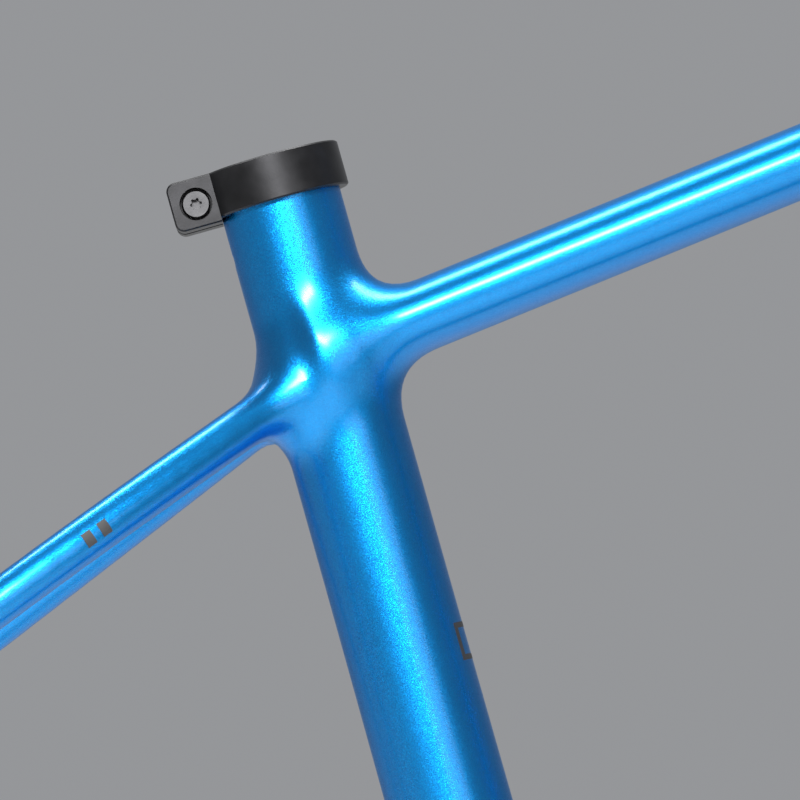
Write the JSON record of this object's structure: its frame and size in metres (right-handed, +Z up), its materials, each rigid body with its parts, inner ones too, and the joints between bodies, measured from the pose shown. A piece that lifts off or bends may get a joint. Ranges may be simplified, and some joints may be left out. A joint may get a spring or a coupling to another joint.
{
  "type": "bicycle frame",
  "caption": "Hardtail mountain-bike frame with smoothly blended tubes, seat clamp, headset, press-fit bottom bracket and through-axle rear end.",
  "frame": {"origin": "middle of the bottom bracket, on the crank axis", "axes": "+X forwards, +Y to the rider's left along the crank axis, +Z up"},
  "size_m": [0.9512, 0.1795, 0.6532],
  "materials": {
    "paint_blue": "satin metallic blue paint under a clear coat",
    "anodised_black": "black anodised, fine blasted",
    "steel": "dark plated",
    "bearing_steel": "ground",
    "rubber": "matt moulded",
    "black_plastic": "matt moulded"
  },
  "bodies": {
    "frame": {"head_tube": "paint_blue", "top_tube": "paint_blue", "down_tube": "paint_blue", "seat_tube": "paint_blue", "bottom_bracket_shell": "paint_blue", "chainstay_right": "paint_blue", "chainstay_left": "paint_blue", "seatstay_right": "paint_blue", "seatstay_left": "paint_blue", "dropout_right": "paint_blue", "dropout_left": "paint_blue", "brake_mount": "paint_blue", "bb_cup_right": "anodised_black", "bb_cup_left": "anodised_black", "bottle_inserts": "anodised_black", "bb_cable_cover_screws": "steel", "cable_port_screws": "steel", "down_tube_guard": "rubber", "chainstay_protector": "rubber", "cable_port_grommets": "rubber", "bb_sleeve": "black_plastic", "bb_cable_cover": "black_plastic", "cable_port_cover_right": "black_plastic", "cable_port_cover_left": "black_plastic", "upper_bearing_outer_race": "bearing_steel", "upper_bearing_seals": "rubber", "lower_bearing_outer_race": "bearing_steel", "lower_bearing_seals": "rubber", "bb_bearing_right_outer_race": "bearing_steel", "bb_bearing_right_seals": "rubber", "bb_bearing_left_outer_race": "bearing_steel", "bb_bearing_left_seals": "rubber"},
    "seat_clamp": {"seat_collar": "anodised_black", "seat_collar_nut": "steel"},
    "clamp_bolt": {"seat_collar_bolt": "steel"},
    "upper_race": {"upper_bearing_inner_race": "bearing_steel", "headset_compression_ring": "anodised_black", "headset_top_cover": "anodised_black", "headset_cover_seal": "rubber"},
    "upper_balls": {"upper_bearing_balls": "bearing_steel", "upper_bearing_cage": "black_plastic"},
    "lower_race": {"lower_bearing_inner_race": "bearing_steel", "crown_race": "anodised_black"},
    "lower_balls": {"lower_bearing_balls": "bearing_steel", "lower_bearing_cage": "black_plastic"},
    "bb_race_right": {"bb_bearing_right_inner_race": "bearing_steel", "bb_dust_cover_right": "black_plastic"},
    "bb_balls_right": {"bb_bearing_right_balls": "bearing_steel", "bb_bearing_right_cage": "black_plastic"},
    "bb_race_left": {"bb_bearing_left_inner_race": "bearing_steel", "bb_dust_cover_left": "black_plastic"},
    "bb_balls_left": {"bb_bearing_left_balls": "bearing_steel", "bb_bearing_left_cage": "black_plastic"},
    "hanger": {"derailleur_hanger": "anodised_black"},
    "hanger_clamp": {"hanger_bolt": "anodised_black"},
    "axle_collar": {"axle_washer": "anodised_black"},
    "axle": {"thru_axle": "anodised_black"}
  },
  "joints": [
    {"name": "collar_lift", "type": "slide", "parent": "frame", "child": "seat_clamp", "axis": [-0.2706, 0, 0.9627], "range_m": [0, 0.06]},
    {"name": "collar_bolt_turn", "type": "hinge", "parent": "seat_clamp", "child": "clamp_bolt", "pos_m": [-0.13713, 0, 0.40137], "axis": [0, -1, 0], "continuous": true},
    {"name": "upper_race_turn", "type": "hinge", "parent": "frame", "child": "upper_race", "pos_m": [0.44, 0, 0.612], "axis": [-0.3665, 0, 0.9304], "continuous": true},
    {"name": "upper_balls_turn", "type": "hinge", "parent": "frame", "child": "upper_balls", "pos_m": [0.44, 0, 0.612], "axis": [-0.3665, 0, 0.9304], "continuous": true},
    {"name": "lower_race_turn", "type": "hinge", "parent": "frame", "child": "lower_race", "pos_m": [0.48032, 0, 0.50965], "axis": [-0.3665, 0, 0.9304], "continuous": true},
    {"name": "lower_balls_turn", "type": "hinge", "parent": "frame", "child": "lower_balls", "pos_m": [0.48032, 0, 0.50965], "axis": [-0.3665, 0, 0.9304], "continuous": true},
    {"name": "bb_right_turn", "type": "hinge", "parent": "frame", "child": "bb_race_right", "pos_m": [0, 0, 0], "axis": [0, 1, 0], "continuous": true},
    {"name": "bb_right_balls_turn", "type": "hinge", "parent": "frame", "child": "bb_balls_right", "pos_m": [0, 0, 0], "axis": [0, 1, 0], "continuous": true},
    {"name": "bb_left_turn", "type": "hinge", "parent": "frame", "child": "bb_race_left", "pos_m": [0, 0, 0], "axis": [0, 1, 0], "continuous": true},
    {"name": "bb_left_balls_turn", "type": "hinge", "parent": "frame", "child": "bb_balls_left", "pos_m": [0, 0, 0], "axis": [0, 1, 0], "continuous": true},
    {"name": "hanger_swing", "type": "hinge", "parent": "frame", "child": "hanger", "pos_m": [-0.42551, 0, 0.062], "axis": [0, 1, 0], "range_deg": [0, 25]},
    {"name": "hanger_bolt_turn", "type": "hinge", "parent": "frame", "child": "hanger_clamp", "pos_m": [-0.42551, 0, 0.062], "axis": [0, 1, 0], "continuous": true},
    {"name": "axle_slide", "type": "slide", "parent": "frame", "child": "axle_collar", "axis": [0, 1, 0], "range_m": [0, 0.19]},
    {"name": "axle_turn", "type": "hinge", "parent": "axle_collar", "child": "axle", "pos_m": [-0.42551, 0, 0.062], "axis": [0, 1, 0], "continuous": true}
  ],
  "couplings": [
    {"joint": "upper_balls_turn", "follows": "upper_race_turn", "ratio": 0.45851},
    {"joint": "lower_balls_turn", "follows": "lower_race_turn", "ratio": 0.46732},
    {"joint": "bb_right_balls_turn", "follows": "bb_right_turn", "ratio": 0.44355},
    {"joint": "bb_left_balls_turn", "follows": "bb_left_turn", "ratio": 0.44355}
  ]
}
